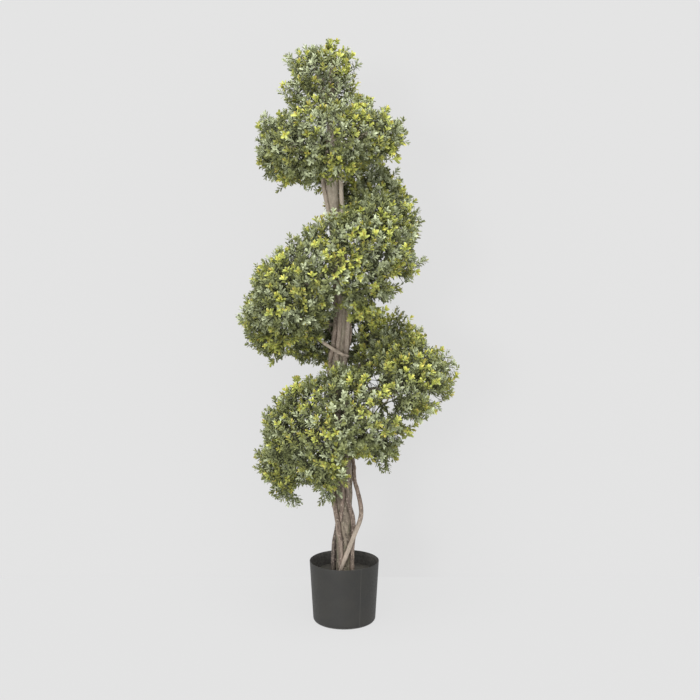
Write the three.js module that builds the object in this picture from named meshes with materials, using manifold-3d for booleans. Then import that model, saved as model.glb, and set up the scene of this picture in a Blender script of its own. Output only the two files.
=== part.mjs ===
// An artificial boxwood spiral topiary in a plain nursery pot.
// Millimetres, +Z up. The origin is the centre of the pot's flat underside, and -Y is the front.
// A core stem with six thinner stems wound on it stands in the pot's fill. Short boughs leave the
// core for the foliage, which winds upwards round it as one band, cut into masses, to a crown.

import * as THREE from "three";
import { mergeVertices } from "three/addons/utils/BufferGeometryUtils.js";
import Module from "manifold-3d";

const wasm = await Module();
wasm.setup();

const GAP = 0.3; // clearance between pieces that touch
const LOOSE_GAP = 1.2; // clearance between the crown and the uneven masses under it
const { degToRad, lerp } = THREE.MathUtils;

// ---------------------------------------------------------------------------------------------
// Driving dimensions

const POT = { rimRadius: 92, footRadius: 82.5, height: 166, wall: 2.4, floor: 4, footRound: 11 };
const FILL = { top: 132, grow: 1.5 };
const GROUND = FILL.top + GAP; // the flat cut under every stem

const TRUNK_TOP = 1450; // the core's tip, inside the crown
const TIP = 1524; // overall height

// The core: height, how far its line stands off the pot's axis to the right and to the back, and
// its radius, which is widest at the root flare and swells a little under the crown.
const CORE_LINE = [
  [GROUND, 1, 0, 22.5],
  [200, 0.5, 0.5, 21],
  [300, -2, 2, 20.5],
  [350, 0.5, 2, 20.5],
  [420, 0, 3, 20],
  [560, -9, 4, 18],
  [700, -17, 2, 16.5],
  [790, -8, 0, 16.5],
  [960, -16, 3, 15.5],
  [1085, -25, 4, 15.5],
  [1130, -31, 4, 16.5],
  [1170, -33, 4, 17.5],
  [1240, -33, 2, 14],
  [1300, -32, 1, 11.5],
  [TRUNK_TOP, -32, 0, 6],
];

// The stems on the core. Each way is a list of height, angle round the core (0 right, -90 front,
// 180 left, 90 back) and how far the stem rises off the core there, where it does. thinFrom is
// the share of the stem's height from which it gets thinner.
const STEMS = [
  {
    name: "left_stem",
    radius: 6.4,
    thinFrom: 0.9,
    way: [
      [GROUND, -112],
      [220, -111],
      [243, -118],
      [262, -124],
      [287, -136],
      [306, -150],
      [326, -166, 2],
      [345, -174, 4],
      [400, -180, 2],
      [690, -174],
      [760, -132],
      [1010, -128],
    ],
  },
  {
    name: "left_rear_stem",
    radius: 6.6,
    thinFrom: 0.9,
    way: [
      [GROUND, 160, 6],
      [199, 160, 4],
      [217, 157, 3],
      [236, 147, 1.5],
      [258, 126],
      [300, 112],
      [640, 118],
    ],
  },
  {
    name: "front_stem",
    radius: 5.6,
    thinFrom: 0.95,
    way: [
      [278, -106],
      [299, -105],
      [333, -97],
      [356, -95],
      [420, -104],
      [560, -100],
      [1000, -106],
      [1085, -128],
      [1125, -160, 1.5],
      [1170, -176, 1],
      [1235, -184],
    ],
  },
  {
    name: "right_stem",
    radius: 6.2,
    thinFrom: 0.95,
    way: [
      [GROUND, -41],
      [200, -42],
      [235, -30, 2],
      [255, -18, 3.5],
      [271, -12, 3.5],
      [287, -21, 1.5],
      [303, -40],
      [324, -59],
      [344, -77],
      [378, -82],
      [450, -74],
      [700, -34],
      [1060, -10],
      [1120, 0, 3],
      [1235, -10, 1],
    ],
  },
  {
    name: "loop_stem",
    radius: 6,
    thinFrom: 0.3,
    way: [
      [GROUND, -119, 4],
      [148, -113, 4],
      [168, -97, 5],
      [188, -81, 5.5],
      [213, -61, 6],
      [233, -44, 8.5],
      [256, -23, 13.5],
      [272, -13, 22],
      [289, -8, 26],
      [322, -5, 20.5],
      [343, -5, 14],
      [360, -7, 8],
      [374, -5, 2.5],
      [400, -2, 0.5],
      [440, 8],
      [728, 4],
      [772, -4, 8],
      [812, -2, 1],
      [900, 10],
    ],
  },
  {
    name: "back_stem",
    radius: 6.4,
    thinFrom: 0.7,
    way: [
      [GROUND, 62],
      [300, 76],
      [560, 82],
      [800, 78],
      [1150, 66],
    ],
  },
];
const STEM_BUD = { share: 0.35, grow: 8 }; // a stem that leaves the core above the ground starts thin

// The band of foliage: at each angle round the trunk, counted upwards from the low end, the heights
// of its underside and top, how far it reaches from the trunk's line, and how far it hangs outward.
const BAND = [
  { turn: -250, under: 362, top: 500, reach: 165 },
  { turn: -215, under: 338, top: 545, reach: 208, hang: 18 },
  { turn: -180, under: 341, top: 598, reach: 226, hang: 20 },
  { turn: -135, under: 374, top: 678, reach: 238, hang: 6 },
  { turn: -98, under: 398, top: 702, reach: 254 },
  { turn: -70, under: 470, top: 715, reach: 262 },
  { turn: -45, under: 452, top: 738, reach: 266 },
  { turn: -25, under: 545, top: 760, reach: 284, hang: 8 },
  { turn: 0, under: 562, top: 768, reach: 304, hang: 14 },
  { turn: 45, under: 608, top: 802, reach: 294, hang: 8 },
  { turn: 90, under: 660, top: 885, reach: 284 },
  { turn: 180, under: 704, top: 962, reach: 260 },
  { turn: 225, under: 752, top: 1040, reach: 256 },
  { turn: 270, under: 838, top: 1102, reach: 240 },
  { turn: 315, under: 836, top: 1142, reach: 228, hang: 8 },
  { turn: 360, under: 916, top: 1172, reach: 214, hang: 12 },
  { turn: 405, under: 1012, top: 1240, reach: 228 },
  { turn: 450, under: 1110, top: 1278, reach: 208 },
  { turn: 490, under: 1162, top: 1320, reach: 198 },
  { turn: 540, under: 1160, top: 1342, reach: 198 },
  { turn: 630, under: 1176, top: 1360, reach: 200 },
  { turn: 720, under: 1224, top: 1364, reach: 182 },
  { turn: 790, under: 1264, top: 1386, reach: 142 },
];
const BAND_INNER = 14; // the band's inner edge from the trunk's line, inside the sleeve
const MASSES = 16;
const MASS_SIDES = 14;
const MASS_STEPS = 6;
const MASS_FULLNESS = { ends: 0.95, more: 0.08 }; // a mass is fuller in its middle than at its ends
const END_ROUND = { share: 0.55, grow: 1.5 }; // the band's two free ends are rounded off
const LUMP = 0.1; // height of the lumps, as a share of the band's section

// The open sleeve round the stems, which the masses stop at and the boughs cross. It closes in on
// the core above the ends of the stems.
const SLEEVE = { radius: 40, clearOfCore: 2.5, closeFrom: 1236, closeBy: 1310, sides: 10, steps: 20 };

// The crown: how wide it is, as a share of its radius, at even steps from its bottom to its tip.
const CROWN = {
  bottom: 1300,
  x: -60,
  y: 4,
  tipX: -32,
  radius: 89,
  widths: [0.62, 0.88, 0.98, 1, 1, 0.95, 0.86, 0.62, 0.1],
  lump: 0.08,
  leanFrom: 0.7,
  sides: 12,
};

const BOUGH = { radius: 5, tipRadius: 3.4, rise: 34, shares: [0, 0.35, 0.7, 1], sag: 1.4 };
const WRAP_BOUGH = {
  radius: 4.8,
  tipRadius: 3.6,
  line: [
    [8, -28, 718],
    [-6, -38, 724],
    [-27, -40, 738],
    [-50, -33, 752],
    [-82, -22, 771],
  ],
};

// ---------------------------------------------------------------------------------------------
// Materials

const paint = (color, roughness) => new THREE.MeshStandardMaterial({ color, roughness, metalness: 0 });
const MATERIALS = {
  potPlastic: paint(0x3d3c38, 0.55),
  fillMix: paint(0x2b2723, 0.95),
  bark: paint(0x8f8073, 0.85),
  paleBark: paint(0xa79584, 0.8),
  foliage: paint(0x5f7442, 0.75),
};

// ---------------------------------------------------------------------------------------------
// Curves and solids

// The value at x of the table that goes through (xs[i], ys[i]), with smooth steps between them.
function along(xs, ys, x) {
  if (x <= xs[0]) return ys[0];
  const last = xs.length - 1;
  if (x >= xs[last]) return ys[last];
  const i = xs.findIndex((edge) => edge > x) - 1;
  const share = (x - xs[i]) / (xs[i + 1] - xs[i]);
  const slope = (k) => {
    const low = Math.max(k - 1, 0);
    const high = Math.min(k + 1, last);
    return (ys[high] - ys[low]) / (xs[high] - xs[low]);
  };
  const span = xs[i + 1] - xs[i];
  const s2 = share * share;
  const s3 = s2 * share;
  return (
    ys[i] * (2 * s3 - 3 * s2 + 1) +
    slope(i) * span * (s3 - 2 * s2 + share) +
    ys[i + 1] * (3 * s2 - 2 * s3) +
    slope(i + 1) * span * (s3 - s2)
  );
}

const LINE_HEIGHTS = CORE_LINE.map((row) => row[0]);
const coreAlong = (column, height) => along(LINE_HEIGHTS, CORE_LINE.map((row) => row[column]), height);
const trunkAt = (height) => new THREE.Vector3(coreAlong(1, height), coreAlong(2, height), height);
const coreRadius = (height) => coreAlong(3, height);

// A closed column of rings: place(t, angle, out) puts each point of a cylinder of unit radius, where
// t runs from 0 to 1 along it and out is 0 at the middle of an end and 1 on the skin.
function column(sides, steps, place) {
  const geometry = new THREE.CylinderGeometry(1, 1, 1, sides, steps);
  const position = geometry.getAttribute("position");
  for (let i = 0; i < position.count; i++) {
    const x = position.getX(i);
    const z = position.getZ(i);
    const point = place(position.getY(i) + 0.5, Math.atan2(x, z), Math.min(1, Math.hypot(x, z)));
    position.setXYZ(i, point.x, point.y, point.z);
  }
  return geometry;
}

// A tapering limb of round section along a curve, its two ends cut square.
function limb(curve, radiusAt, sides, steps) {
  const frames = curve.computeFrenetFrames(steps, false);
  return column(sides, steps, (t, angle, out) => {
    const i = Math.round(t * steps);
    const radius = radiusAt(t) * out;
    return curve
      .getPointAt(i / steps)
      .addScaledVector(frames.normals[i], Math.cos(angle) * radius)
      .addScaledVector(frames.binormals[i], Math.sin(angle) * radius);
  });
}

function toManifold(geometry) {
  const bare = geometry.clone();
  bare.deleteAttribute("normal");
  bare.deleteAttribute("uv");
  const merged = mergeVertices(bare, 1e-3);
  const mesh = new wasm.Mesh({
    numProp: 3,
    vertProperties: merged.getAttribute("position").array,
    triVerts: new Uint32Array(merged.index.array),
  });
  return new wasm.Manifold(mesh);
}

function toGeometry(solid) {
  const mesh = solid.getMesh();
  const geometry = new THREE.BufferGeometry();
  geometry.setAttribute("position", new THREE.BufferAttribute(new Float32Array(mesh.vertProperties), 3));
  geometry.setIndex(new THREE.BufferAttribute(new Uint32Array(mesh.triVerts), 1));
  geometry.computeVertexNormals();
  return geometry;
}

const largest = (solid) =>
  solid.decompose().reduce((best, body) => (body.volume() > best.volume() ? body : best));

// A solid less all of the others, as its one largest body.
const less = (solid, others) => largest(others.reduce((left, other) => left.subtract(other), solid));

const group = new THREE.Group();
group.name = "spiral_topiary";

function add(name, geometry, material) {
  const mesh = new THREE.Mesh(geometry, material);
  mesh.name = name;
  group.add(mesh);
}

// ---------------------------------------------------------------------------------------------
// Pot and fill

// The pot's outer radius at a height, above the round of its foot.
const potRadius = (height) => lerp(POT.footRadius, POT.rimRadius, height / POT.height);

function potProfile() {
  const { wall, floor, height, footRound } = POT;
  const rise = footRound;
  const points = [new THREE.Vector2(0, 0)];
  const roundSteps = 4;
  for (let i = 0; i <= roundSteps; i++) {
    const angle = (i / roundSteps) * (Math.PI / 2);
    const radius = potRadius(rise) - footRound * (1 - Math.sin(angle));
    points.push(new THREE.Vector2(radius, rise * (1 - Math.cos(angle))));
  }
  points.push(new THREE.Vector2(POT.rimRadius, height));
  points.push(new THREE.Vector2(POT.rimRadius - wall, height));
  points.push(new THREE.Vector2(potRadius(rise) - wall, rise));
  points.push(new THREE.Vector2(potRadius(rise) - footRound, floor));
  points.push(new THREE.Vector2(0, floor));
  return points;
}

function fillProfile() {
  const radiusAt = (height) => potRadius(height) - POT.wall - GAP;
  const shoulder = FILL.top - FILL.grow;
  return [
    new THREE.Vector2(0, POT.floor + GAP),
    new THREE.Vector2(potRadius(POT.footRound) - POT.footRound - 1, POT.floor + GAP),
    new THREE.Vector2(radiusAt(POT.footRound + 2) - 0.6, POT.footRound + 2),
    new THREE.Vector2(radiusAt(shoulder), shoulder),
    new THREE.Vector2(radiusAt(shoulder) - FILL.grow, FILL.top),
    new THREE.Vector2(0, FILL.top),
  ];
}

// A turned solid about Z from a profile that starts and ends on the axis.
const turned = (points, sides) => new THREE.LatheGeometry(points, sides).rotateX(Math.PI / 2);

const POT_SIDES = 36;
add("pot", turned(potProfile(), POT_SIDES), MATERIALS.potPlastic);
add("pot_fill", turned(fillProfile(), POT_SIDES), MATERIALS.fillMix);

// ---------------------------------------------------------------------------------------------
// Core and stems

const CORE_RIB_REACH = 1.07; // the core's ribs against its mean radius

// The core is a column of level rings, so its foot is a flat, level cut.
function core(swell) {
  const sides = 10;
  const steps = 20;
  return column(sides, steps, (t, angle, out) => {
    const height = lerp(GROUND, TRUNK_TOP, t);
    const rib = 1 + (CORE_RIB_REACH - 1) * Math.sin(3 * angle + height / 130);
    const radius = (coreRadius(height) * rib + swell) * out;
    const point = trunkAt(height);
    return point.set(point.x + radius * Math.sin(angle), point.y - radius * Math.cos(angle), height);
  });
}

const STEM_BED = 1; // how deep a stem is pressed into the core
const STEM_TOP_SHARE = 0.45; // a stem's radius at its top end, as a share of its own radius
const STEM_SIDES = 6;
// A stem's rings lie closer together low down, where the stems bend most.
const STEM_RINGS = { apart: 68, extra: 6, crowding: 1.5 };

// A stem's centre at a height: laid on the core at its angle, and held off it by its rise.
function stemAt(spec, height) {
  const heights = spec.way.map((row) => row[0]);
  const angle = degToRad(along(heights, spec.way.map((row) => row[1]), height));
  const rise = along(heights, spec.way.map((row) => row[2] ?? 0), height);
  const reach = coreRadius(height) + spec.radius - STEM_BED + Math.max(0, rise);
  const point = trunkAt(height);
  return point.set(point.x + reach * Math.cos(angle), point.y + reach * Math.sin(angle), height);
}

function stem(spec, swell) {
  const foot = spec.way[0][0];
  const top = spec.way[spec.way.length - 1][0];
  const steps = Math.round((top - foot) / STEM_RINGS.apart) + STEM_RINGS.extra;
  return column(STEM_SIDES, steps, (t, angle, out) => {
    const height = lerp(foot, top, t ** STEM_RINGS.crowding);
    const thin = lerp(1, STEM_TOP_SHARE, Math.max(0, (t - spec.thinFrom) / (1 - spec.thinFrom)));
    const budding = foot > GROUND ? Math.min(1, STEM_BUD.share + t * STEM_BUD.grow) : 1;
    const radius = (spec.radius * thin * budding + swell) * out;
    const point = stemAt(spec, height);
    return point.set(point.x + radius * Math.sin(angle), point.y - radius * Math.cos(angle), height);
  });
}

const bundle = [toManifold(core(GAP))]; // what later pieces are cut by: each piece so far, swelled
add("trunk", core(0), MATERIALS.bark);
for (const spec of STEMS) {
  const solid = less(toManifold(stem(spec, 0)), bundle);
  add(spec.name, toGeometry(solid), MATERIALS.paleBark);
  bundle.push(toManifold(stem(spec, GAP)));
}

// ---------------------------------------------------------------------------------------------
// Foliage

const TURNS = BAND.map((row) => row.turn);
const bandAt = (key, turn) => along(TURNS, BAND.map((row) => row[key] ?? 0), turn);

// Lumps in a skin, from -1 to 1, out of a few waves that never line up.
const lumps = (a, b) =>
  0.42 * Math.sin(2.3 * a + 2 * b + 0.7) +
  0.33 * Math.sin(4.1 * a - 3 * b + 2.1) +
  0.25 * Math.sin(7.3 * a + b - 1.3);

// A part of the band between two turns, with flat ends that face its neighbours.
function mass(spec, swell) {
  return column(MASS_SIDES, MASS_STEPS, (t, angle, out) => {
    const turn = lerp(spec.from, spec.to, t);
    const around = degToRad(turn);
    const top = bandAt("top", turn);
    const under = bandAt("under", turn);
    const reach = bandAt("reach", turn);
    const height = (top + under) / 2;
    const centre = trunkAt(height);
    const fullness = MASS_FULLNESS.ends + MASS_FULLNESS.more * Math.sin(t * Math.PI);
    const toEnd = spec.first ? t : spec.last ? 1 - t : 1;
    const round = Math.min(1, END_ROUND.share + END_ROUND.grow * toEnd);
    const scale = out * round * (fullness + LUMP * lumps(around, angle));
    const hang = bandAt("hang", turn) * Math.cos(angle) * scale;
    const radial = (BAND_INNER + reach) / 2;
    const across = radial + Math.sin(angle) * ((radial - BAND_INNER) * scale + swell * out) - hang;
    const up = Math.cos(angle) * (((top - under) / 2) * scale + swell * out);
    const forward = t === 0 ? GAP / 2 - swell : t === 1 ? swell - GAP / 2 : 0;
    return new THREE.Vector3(
      centre.x + across * Math.cos(around) - forward * Math.sin(around),
      centre.y + across * Math.sin(around) + forward * Math.cos(around),
      height + up,
    );
  });
}

// The crown: a blunt, uneven cone whose tip leans back over the trunk.
function crown(swell) {
  const steps = CROWN.widths.length - 1;
  return column(CROWN.sides, steps, (t, angle, out) => {
    const skin = CROWN.widths[Math.round(t * steps)] * (1 + CROWN.lump * lumps(3 * t, angle));
    const width = (CROWN.radius * skin + swell) * out;
    const lean = Math.max(0, t - CROWN.leanFrom) / (1 - CROWN.leanFrom);
    const end = t === 0 ? -swell : t === 1 ? swell : 0;
    return new THREE.Vector3(
      lerp(CROWN.x, CROWN.tipX, lean) + Math.sin(angle) * width,
      CROWN.y - Math.cos(angle) * width,
      lerp(CROWN.bottom, TIP, t) + end,
    );
  });
}

function sleeve() {
  const top = TRUNK_TOP + 2;
  return column(SLEEVE.sides, SLEEVE.steps, (t, angle, out) => {
    const height = lerp(GROUND, top, t);
    const close = (height - SLEEVE.closeFrom) / (SLEEVE.closeBy - SLEEVE.closeFrom);
    const narrow = coreRadius(height) * CORE_RIB_REACH + SLEEVE.clearOfCore;
    const radius = lerp(SLEEVE.radius, narrow, THREE.MathUtils.clamp(close, 0, 1)) * out;
    const point = trunkAt(height);
    return point.set(point.x + radius * Math.sin(angle), point.y - radius * Math.cos(angle), height);
  });
}

const SIDE_NAMES = [
  "right",
  "back_right",
  "back",
  "back_left",
  "left",
  "front_left",
  "front",
  "front_right",
];
const sideName = (turn) => SIDE_NAMES[(Math.round(turn / 45) + 16) % SIDE_NAMES.length];

const hollow = toManifold(sleeve());
const lowest = TURNS[0];
const highest = TURNS[TURNS.length - 1];
const specs = Array.from({ length: MASSES }, (_, i) => {
  const from = lerp(lowest, highest, i / MASSES);
  const to = lerp(lowest, highest, (i + 1) / MASSES);
  return { from, to, first: i === 0, last: i === MASSES - 1, number: String(i + 1).padStart(2, "0") };
});
const massOf = (spec, swell) => toManifold(mass(spec, swell));

const CROWN_MEETS = 5; // how many of the last masses the crown sits on
const underCrown = specs.slice(-CROWN_MEETS).map((spec) => massOf(spec, LOOSE_GAP));
const crownSolid = less(toManifold(crown(0)), [hollow, ...underCrown]);
const boughStops = [toManifold(crown(GAP)).subtract(hollow)];
for (const spec of specs) {
  const solid = less(massOf(spec, 0), [hollow]);
  const name = `foliage_${spec.number}_${sideName((spec.from + spec.to) / 2)}`;
  add(name, toGeometry(solid), MATERIALS.foliage);
  boughStops.push(massOf(spec, GAP).subtract(hollow));
}
add("foliage_crown", toGeometry(crownSolid), MATERIALS.foliage);

// ---------------------------------------------------------------------------------------------
// Boughs

const BOUGH_SIDES = 6;
const BOUGH_STEPS = 6;
const CRUMB = 60; // cubic millimetres: a smaller body left by a cut is no part of a bough

// A bough that is rooted on the stems and ends where it enters a mass.
function addBough(name, points, radius, tipRadius) {
  const curve = new THREE.CatmullRomCurve3(points.map((point) => new THREE.Vector3(...point)));
  const limbOf = (swell) =>
    toManifold(limb(curve, (t) => lerp(radius, tipRadius, t) + swell, BOUGH_SIDES, BOUGH_STEPS));
  const cut = [...bundle, ...boughStops].reduce((left, other) => left.subtract(other), limbOf(0));
  const root = trunkAt(points[0][2]);
  const fromTrunk = (body) => {
    const { min, max } = body.boundingBox();
    return Math.hypot((min[0] + max[0]) / 2 - root.x, (min[1] + max[1]) / 2 - root.y);
  };
  const bodies = cut.decompose().filter((body) => body.volume() > CRUMB);
  const nearest = bodies.reduce((best, body) => (fromTrunk(body) < fromTrunk(best) ? body : best));
  add(name, toGeometry(nearest), MATERIALS.bark);
  bundle.push(limbOf(GAP));
}

addBough("bough_wrap", WRAP_BOUGH.line, WRAP_BOUGH.radius, WRAP_BOUGH.tipRadius);
for (const spec of specs) {
  const turn = (spec.from + spec.to) / 2;
  const around = degToRad(turn);
  const goal = (bandAt("under", turn) + bandAt("top", turn)) / 2;
  const reach = bandAt("reach", turn) / 2;
  const root = trunkAt(goal - BOUGH.rise);
  const line = BOUGH.shares.map((share) => [
    root.x + share * reach * Math.cos(around),
    root.y + share * reach * Math.sin(around),
    root.z + BOUGH.rise * share ** BOUGH.sag,
  ]);
  addBough(`bough_${spec.number}`, line, BOUGH.radius, BOUGH.tipRadius);
}

export default group;
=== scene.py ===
# An artificial boxwood spiral topiary in a plain nursery pot: stems wound on a core, and wired
# boughs that carry a winding band of leaf sprays up to a crown. Metres, in the CAD model's frame.
import math
from itertools import product

import bmesh
import bpy
import numpy as np
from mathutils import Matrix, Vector, noise
from mathutils.bvhtree import BVHTree
from mathutils.kdtree import KDTree


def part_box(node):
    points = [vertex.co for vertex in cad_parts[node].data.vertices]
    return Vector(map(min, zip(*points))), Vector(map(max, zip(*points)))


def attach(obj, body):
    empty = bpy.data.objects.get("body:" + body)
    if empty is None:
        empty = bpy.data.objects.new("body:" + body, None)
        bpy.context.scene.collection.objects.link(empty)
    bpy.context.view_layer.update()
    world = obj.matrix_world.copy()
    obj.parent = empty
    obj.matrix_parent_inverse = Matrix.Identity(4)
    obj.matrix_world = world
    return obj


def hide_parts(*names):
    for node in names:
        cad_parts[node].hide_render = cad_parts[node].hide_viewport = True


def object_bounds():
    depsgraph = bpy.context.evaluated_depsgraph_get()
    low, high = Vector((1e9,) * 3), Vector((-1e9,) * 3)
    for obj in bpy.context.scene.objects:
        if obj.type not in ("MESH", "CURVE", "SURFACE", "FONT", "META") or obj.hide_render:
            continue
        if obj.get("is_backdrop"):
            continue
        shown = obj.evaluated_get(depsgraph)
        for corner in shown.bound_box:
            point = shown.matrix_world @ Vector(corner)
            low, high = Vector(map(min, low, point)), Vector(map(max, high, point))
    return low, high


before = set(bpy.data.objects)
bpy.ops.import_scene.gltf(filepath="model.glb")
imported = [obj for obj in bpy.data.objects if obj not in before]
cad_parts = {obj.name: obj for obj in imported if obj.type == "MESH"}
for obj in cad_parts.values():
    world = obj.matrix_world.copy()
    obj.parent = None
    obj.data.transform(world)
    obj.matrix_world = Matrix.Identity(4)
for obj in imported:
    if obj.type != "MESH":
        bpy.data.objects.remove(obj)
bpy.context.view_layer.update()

# ------------------------------------------------------------------------------------------
# Pot. One shell of charcoal plastic, blown in a two-part mould, so a fine parting line runs
# down its wall. The lip is a plain rounded edge and the foot is rolled under.


def plain_material(name, colour, roughness, specular=0.5):
    material = bpy.data.materials.new(name)
    material.use_nodes = True
    shader = material.node_tree.nodes["Principled BSDF"]
    shader.inputs["Base Color"].default_value = (*colour, 1)
    shader.inputs["Roughness"].default_value = roughness
    shader.inputs["Specular IOR Level"].default_value = specular
    return material


def new_group(name, inputs):
    """A shader node group with a Place and the named inputs: the group, its inputs, its end."""
    group = bpy.data.node_groups.new(name, "ShaderNodeTree")
    sockets = group.interface
    sockets.new_socket("Place", in_out="INPUT", socket_type="NodeSocketVector")
    for socket, value in inputs.items():
        kind = "NodeSocketColor" if isinstance(value, tuple) else "NodeSocketFloat"
        sockets.new_socket(socket, in_out="INPUT", socket_type=kind).default_value = value
    sockets.new_socket("Colour", in_out="OUTPUT", socket_type="NodeSocketColor")
    sockets.new_socket("Roughness", in_out="OUTPUT", socket_type="NodeSocketFloat")
    sockets.new_socket("Height", in_out="OUTPUT", socket_type="NodeSocketFloat")
    given = group.nodes.new("NodeGroupInput").outputs
    return group, given, group.nodes.new("NodeGroupOutput")


def end_group(group, end, **outputs):
    """Links the group's outputs by name."""
    for name, value in outputs.items():
        group.links.new(value, end.inputs[name])


def use_group(material, group, values, outputs):
    """Puts the group in the material on Object coordinates and links its outputs by name."""
    tree = material.node_tree
    shader = tree.nodes["Principled BSDF"]
    node = tree.nodes.new("ShaderNodeGroup")
    node.node_tree = group
    place = tree.nodes.new("ShaderNodeTexCoord")
    tree.links.new(place.outputs["Object"], node.inputs["Place"])
    for socket, value in values.items():
        node.inputs[socket].default_value = value
    for output, socket in outputs.items():
        tree.links.new(node.outputs[output], shader.inputs[socket])
    return node, place


def add_bump(material, node, output, strength, distance):
    tree = material.node_tree
    bump = tree.nodes.new("ShaderNodeBump")
    bump.inputs["Strength"].default_value = strength
    bump.inputs["Distance"].default_value = distance
    tree.links.new(node.outputs[output], bump.inputs["Height"])
    tree.links.new(bump.outputs["Normal"], tree.nodes["Principled BSDF"].inputs["Normal"])


def math_node(group, operation, a, b=None):
    """A math node on two values, each a socket or a number."""
    node = group.nodes.new("ShaderNodeMath")
    node.operation = operation
    for i, value in enumerate((a, b)):
        if isinstance(value, bpy.types.NodeSocket):
            group.links.new(value, node.inputs[i])
        elif value is not None:
            node.inputs[i].default_value = value
    return node.outputs[0]


def mix_colour(group, share, a, b):
    """The colour that is a where share is 0 and b where it is 1; each is a socket or a colour."""
    node = group.nodes.new("ShaderNodeMix")
    node.data_type = "RGBA"
    for key, value in ((0, share), (6, a), (7, b)):
        if isinstance(value, bpy.types.NodeSocket):
            group.links.new(value, node.inputs[key])
        else:
            node.inputs[key].default_value = value
    return node.outputs[2]


def noise_node(group, place, scale, detail):
    node = group.nodes.new("ShaderNodeTexNoise")
    node.inputs["Scale"].default_value = scale
    node.inputs["Detail"].default_value = detail
    group.links.new(place, node.inputs["Vector"])
    return node.outputs["Fac"]


def range_node(group, value, low, high, out_low=0.0, out_high=1.0):
    node = group.nodes.new("ShaderNodeMapRange")
    node.inputs["From Min"].default_value = low
    node.inputs["From Max"].default_value = high
    node.inputs["To Min"].default_value = out_low
    node.inputs["To Max"].default_value = out_high
    group.links.new(value, node.inputs["Value"])
    return node.outputs["Result"]


def mottle_group():
    """Two colours in soft blotches with fine specks, for the pot's skin and the fill."""
    group, given, end = new_group(
        "Mottle",
        {
            "Colour": (0.06, 0.06, 0.055, 1),
            "Blotch": (0.07, 0.07, 0.06, 1),
            "Size": 20.0,
            "Amount": 1.0,
        },
    )
    scaled = group.nodes.new("ShaderNodeVectorMath")
    scaled.operation = "SCALE"
    group.links.new(given["Place"], scaled.inputs[0])
    group.links.new(given["Size"], scaled.inputs["Scale"])
    broad = noise_node(group, scaled.outputs["Vector"], 1.0, 4.0)
    fine = noise_node(group, scaled.outputs["Vector"], 9.0, 3.0)
    share = math_node(group, "MULTIPLY", range_node(group, broad, 0.4, 0.62), given["Amount"])
    specks = math_node(group, "MULTIPLY", fine, 0.3)
    end_group(
        group,
        end,
        Colour=mix_colour(group, share, given["Colour"], given["Blotch"]),
        Roughness=range_node(group, fine, 0.3, 0.7, 0.46, 0.62),
        Height=math_node(group, "ADD", broad, specks),
    )
    return group


def in_scene(name, data):
    """A new object of the mesh, light or camera, in the scene."""
    made = bpy.data.objects.new(name, data)
    bpy.context.scene.collection.objects.link(made)
    return made


def finish_mesh(name, bm, materials):
    """Turns a bmesh into an object with its faces' normals outward."""
    bmesh.ops.recalc_face_normals(bm, faces=bm.faces)
    mesh = bpy.data.meshes.new(name)
    bm.to_mesh(mesh)
    bm.free()
    for material in materials:
        mesh.materials.append(material)
    mesh.polygons.foreach_set("use_smooth", [True] * len(mesh.polygons))
    return in_scene(name, mesh)


def turned(name, profile, steps, materials):
    """A closed turned solid about Z from a profile of (radius, height) that ends on the axis."""
    bm = bmesh.new()
    points = [bm.verts.new((radius, 0, height)) for radius, height in profile]
    edges = [bm.edges.new(pair) for pair in zip(points, points[1:])]
    bmesh.ops.spin(
        bm,
        geom=points + edges,
        cent=(0, 0, 0),
        axis=(0, 0, 1),
        angle=math.tau,
        steps=steps,
        use_merge=True,
    )
    bmesh.ops.remove_doubles(bm, verts=bm.verts, dist=1e-6)
    return finish_mesh(name, bm, materials)


pot_low, pot_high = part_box("pot")
RIM = (pot_high.x - pot_low.x) / 2
POT_HEIGHT = pot_high.z
FOOT = 0.0825
WALL = 0.0024
FOOT_ROUND = 0.011
LIP = WALL / 2
POT_FLOOR = 0.004
UNDER_RISE = 0.0016  # the middle of the underside is raised by this, inside a standing ring
UNDER_RADIUS = 0.058
RING_RADIUS = 0.066
POT_STEPS = 120
WALL_STEPS = 12
ROUND_STEPS = 6


def pot_radius(height):
    return FOOT + (RIM - FOOT) * height / POT_HEIGHT


profile = [(0, UNDER_RISE), (UNDER_RADIUS, UNDER_RISE), (RING_RADIUS, 0)]
for i in range(ROUND_STEPS + 1):
    turn = i / ROUND_STEPS * math.pi / 2
    profile.append(
        (
            pot_radius(FOOT_ROUND) - FOOT_ROUND * (1 - math.sin(turn)),
            FOOT_ROUND * (1 - math.cos(turn)),
        )
    )
for i in range(1, WALL_STEPS + 1):
    height = FOOT_ROUND + (POT_HEIGHT - LIP - FOOT_ROUND) * i / WALL_STEPS
    profile.append((pot_radius(height), height))
for i in range(1, ROUND_STEPS + 1):
    turn = i / ROUND_STEPS * math.pi
    profile.append((RIM - LIP + LIP * math.cos(turn), POT_HEIGHT - LIP + LIP * math.sin(turn)))
for i in range(1, WALL_STEPS + 1):
    height = POT_HEIGHT - LIP - (POT_HEIGHT - LIP - FOOT_ROUND) * i / WALL_STEPS
    profile.append((pot_radius(height) - WALL, height))
profile += [(pot_radius(FOOT_ROUND) - FOOT_ROUND, POT_FLOOR), (0, POT_FLOOR)]

mottle = mottle_group()


def mottled(material, colour, blotch, size, amount, output, socket):
    """Puts the mottle in a material, with one of its outputs on a socket of the shader."""
    values = {"Colour": (*colour, 1), "Blotch": (*blotch, 1), "Size": size, "Amount": amount}
    return use_group(material, mottle, values, {output: socket})


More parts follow.
